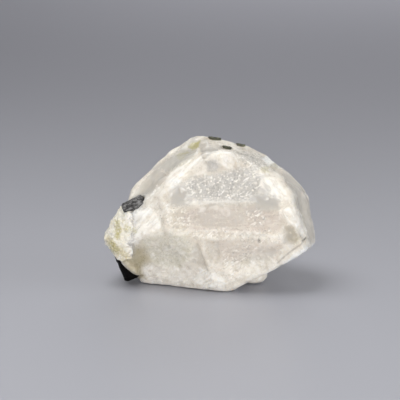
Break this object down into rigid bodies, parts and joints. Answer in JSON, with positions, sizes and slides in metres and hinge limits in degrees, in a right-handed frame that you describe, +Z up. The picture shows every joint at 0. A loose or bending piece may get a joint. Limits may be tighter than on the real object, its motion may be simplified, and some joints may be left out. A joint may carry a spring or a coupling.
{
  "type": "topaz crystal",
  "caption": "Rough translucent topaz crystal, a squat many-sided stone with a feldspar crust, black tourmaline and dark mica flakes grown into it, resting on a flat face.",
  "frame": {"origin": "middle of the footprint's bounding box, on the table that the stone rests on", "axes": "+Z up, -Y towards the broad etched front, -X towards the crusted end"},
  "size_m": [0.0406, 0.0258, 0.0276],
  "materials": {
    "topaz": "etched and frosted, translucent, with clearer patches",
    "feldspar": "rough, grainy, faintly stained yellow-green",
    "tourmaline": "black, ribbed, semi-glossy",
    "mica": "dark green-black, satin"
  },
  "bodies": {
    "root": {"topaz_crystal": "topaz", "feldspar_crust": "feldspar", "tourmaline_upper": "tourmaline", "tourmaline_lower": "tourmaline", "mica_flake_left": "mica", "mica_flake_middle": "mica", "mica_flake_right": "mica"}
  },
  "joints": []
}
